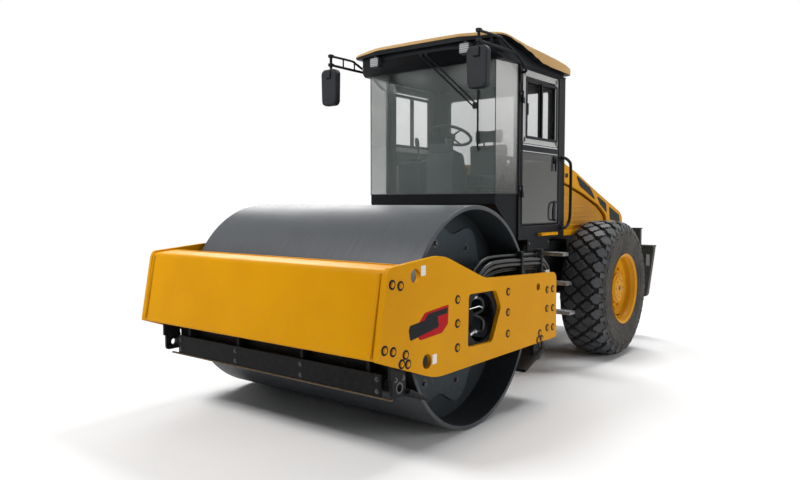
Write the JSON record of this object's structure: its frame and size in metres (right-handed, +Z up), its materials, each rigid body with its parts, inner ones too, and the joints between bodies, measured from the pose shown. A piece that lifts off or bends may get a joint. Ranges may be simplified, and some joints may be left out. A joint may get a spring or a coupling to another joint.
{
  "type": "single-drum road roller",
  "caption": "Articulated soil roller: smooth steel drum in a plate frame at the front, glazed cab, two large rubber tyres and a tilting engine hood at the rear.",
  "frame": {"origin": "middle of the machine's footprint, on the ground", "axes": "+X to the machine's left side, +Y to its rear, +Z up; the drum is at the -Y end"},
  "size_m": [2.26, 5.1952, 2.8809],
  "materials": {
    "yellow_paint": "semi-gloss golden yellow enamel",
    "black_paint": "satin black enamel",
    "drum_steel": "slate grey enamel worn to bare steel on the rolling face",
    "engine_iron": "plain dark block",
    "rod_chrome": "polished",
    "step_steel": "bright serrated steel",
    "tyre_rubber": "dusty black rubber",
    "hose_rubber": "smooth black rubber",
    "cab_glass": "lightly tinted",
    "roof_cream": "tan moulded skin",
    "trim_plastic": "grained black plastic",
    "seat_fabric": "dark woven seat cloth"
  },
  "bodies": {
    "rear_chassis": {"rear_frame": "black_paint", "rear_axle": "black_paint", "fuel_tank": "black_paint", "hydraulic_tank": "black_paint", "steps_left": "step_steel", "steps_right": "step_steel", "engine": "engine_iron", "engine_deck": "yellow_paint", "side_panel_left": "yellow_paint", "side_panel_right": "yellow_paint", "counterweight": "black_paint", "cab_floor": "black_paint", "cab_side_left": "black_paint", "cab_side_right": "black_paint", "cab_rear_wall": "black_paint", "rear_window": "cab_glass", "windscreen": "cab_glass", "corner_glass_left": "cab_glass", "corner_glass_right": "cab_glass", "roof_liner": "black_paint", "roof_skin": "roof_cream", "seat_base": "trim_plastic", "seat_cushion": "seat_fabric", "seat_back": "seat_fabric", "console": "trim_plastic", "side_console": "trim_plastic", "mirror_left": "black_paint", "mirror_right": "black_paint", "handrail_left": "black_paint", "handrail_right": "black_paint"},
    "centre_joint": {"centre_joint": "black_paint"},
    "front_frame": {"side_plate_left": "yellow_paint", "side_plate_right": "yellow_paint", "front_beam": "yellow_paint", "rear_beam": "yellow_paint", "drum_carrier_left": "black_paint", "drum_carrier_right": "black_paint", "front_scraper": "black_paint", "rear_scraper": "black_paint", "drum_hoses": "hose_rubber"},
    "drum": {"drum": "drum_steel"},
    "wheel_left": {"tyre_left": "tyre_rubber", "rim_left": "yellow_paint"},
    "wheel_right": {"tyre_right": "tyre_rubber", "rim_right": "yellow_paint"},
    "door_left": {"door_left": "black_paint", "door_glass_left": "cab_glass"},
    "door_right": {"door_right": "black_paint", "door_glass_right": "cab_glass"},
    "hood": {"hood": "yellow_paint"},
    "steering_wheel": {"steering_wheel": "trim_plastic"},
    "cylinder_left": {"steering_cylinder_left": "black_paint"},
    "cylinder_right": {"steering_cylinder_right": "black_paint"},
    "rod_left": {"steering_rod_left": "rod_chrome"},
    "rod_right": {"steering_rod_right": "rod_chrome"}
  },
  "joints": [
    {"name": "steer", "type": "hinge", "parent": "rear_chassis", "child": "centre_joint", "pos_m": [0, -0.0567, 0.75], "axis": [0, 0, 1], "range_deg": [-35, 35]},
    {"name": "swing", "type": "hinge", "parent": "centre_joint", "child": "front_frame", "pos_m": [0, -0.2767, 0.7], "axis": [0, 1, 0], "range_deg": [-12, 12]},
    {"name": "drum_roll", "type": "hinge", "parent": "front_frame", "child": "drum", "pos_m": [0, -1.4767, 0.75], "axis": [1, 0, 0], "continuous": true},
    {"name": "wheel_left_roll", "type": "hinge", "parent": "rear_chassis", "child": "wheel_left", "pos_m": [0.868, 1.3033, 0.67], "axis": [1, 0, 0], "continuous": true},
    {"name": "wheel_right_roll", "type": "hinge", "parent": "rear_chassis", "child": "wheel_right", "pos_m": [-0.868, 1.3033, 0.67], "axis": [1, 0, 0], "continuous": true},
    {"name": "door_left_swing", "type": "hinge", "parent": "rear_chassis", "child": "door_left", "pos_m": [0.722, -0.1957, 1.9], "axis": [0, 0, -1], "range_deg": [0, 95]},
    {"name": "door_right_swing", "type": "hinge", "parent": "rear_chassis", "child": "door_right", "pos_m": [-0.722, -0.1957, 1.9], "axis": [0, 0, 1], "range_deg": [0, 95]},
    {"name": "hood_tilt", "type": "hinge", "parent": "rear_chassis", "child": "hood", "pos_m": [0, 2.3913, 1.262], "axis": [-1, 0, 0], "range_deg": [0, 60]},
    {"name": "steering_wheel_turn", "type": "hinge", "parent": "rear_chassis", "child": "steering_wheel", "pos_m": [0, -0.1827, 2.122], "axis": [0, 0.4078, 0.9131], "continuous": true},
    {"name": "cylinder_left_swing", "type": "hinge", "parent": "rear_chassis", "child": "cylinder_left", "pos_m": [0.31, 0.4533, 0.755], "axis": [0, 0, 1], "range_deg": [-6, 6]},
    {"name": "rod_left_slide", "type": "slide", "parent": "cylinder_left", "child": "rod_left", "axis": [-0.1104, -0.9939, 0], "range_m": [-0.155, 0.155]},
    {"name": "cylinder_right_swing", "type": "hinge", "parent": "rear_chassis", "child": "cylinder_right", "pos_m": [-0.31, 0.4533, 0.755], "axis": [0, 0, 1], "range_deg": [-6, 6]},
    {"name": "rod_right_slide", "type": "slide", "parent": "cylinder_right", "child": "rod_right", "axis": [0.1104, -0.9939, 0], "range_m": [-0.155, 0.155]}
  ],
  "couplings": [
    {"joint": "cylinder_left_swing", "follows": "steer", "ratio": 0.14634},
    {"joint": "cylinder_right_swing", "follows": "steer", "ratio": 0.14634},
    {"joint": "rod_left_slide", "follows": "steer", "m_per_rad": -0.25178},
    {"joint": "rod_right_slide", "follows": "steer", "m_per_rad": 0.25178}
  ]
}
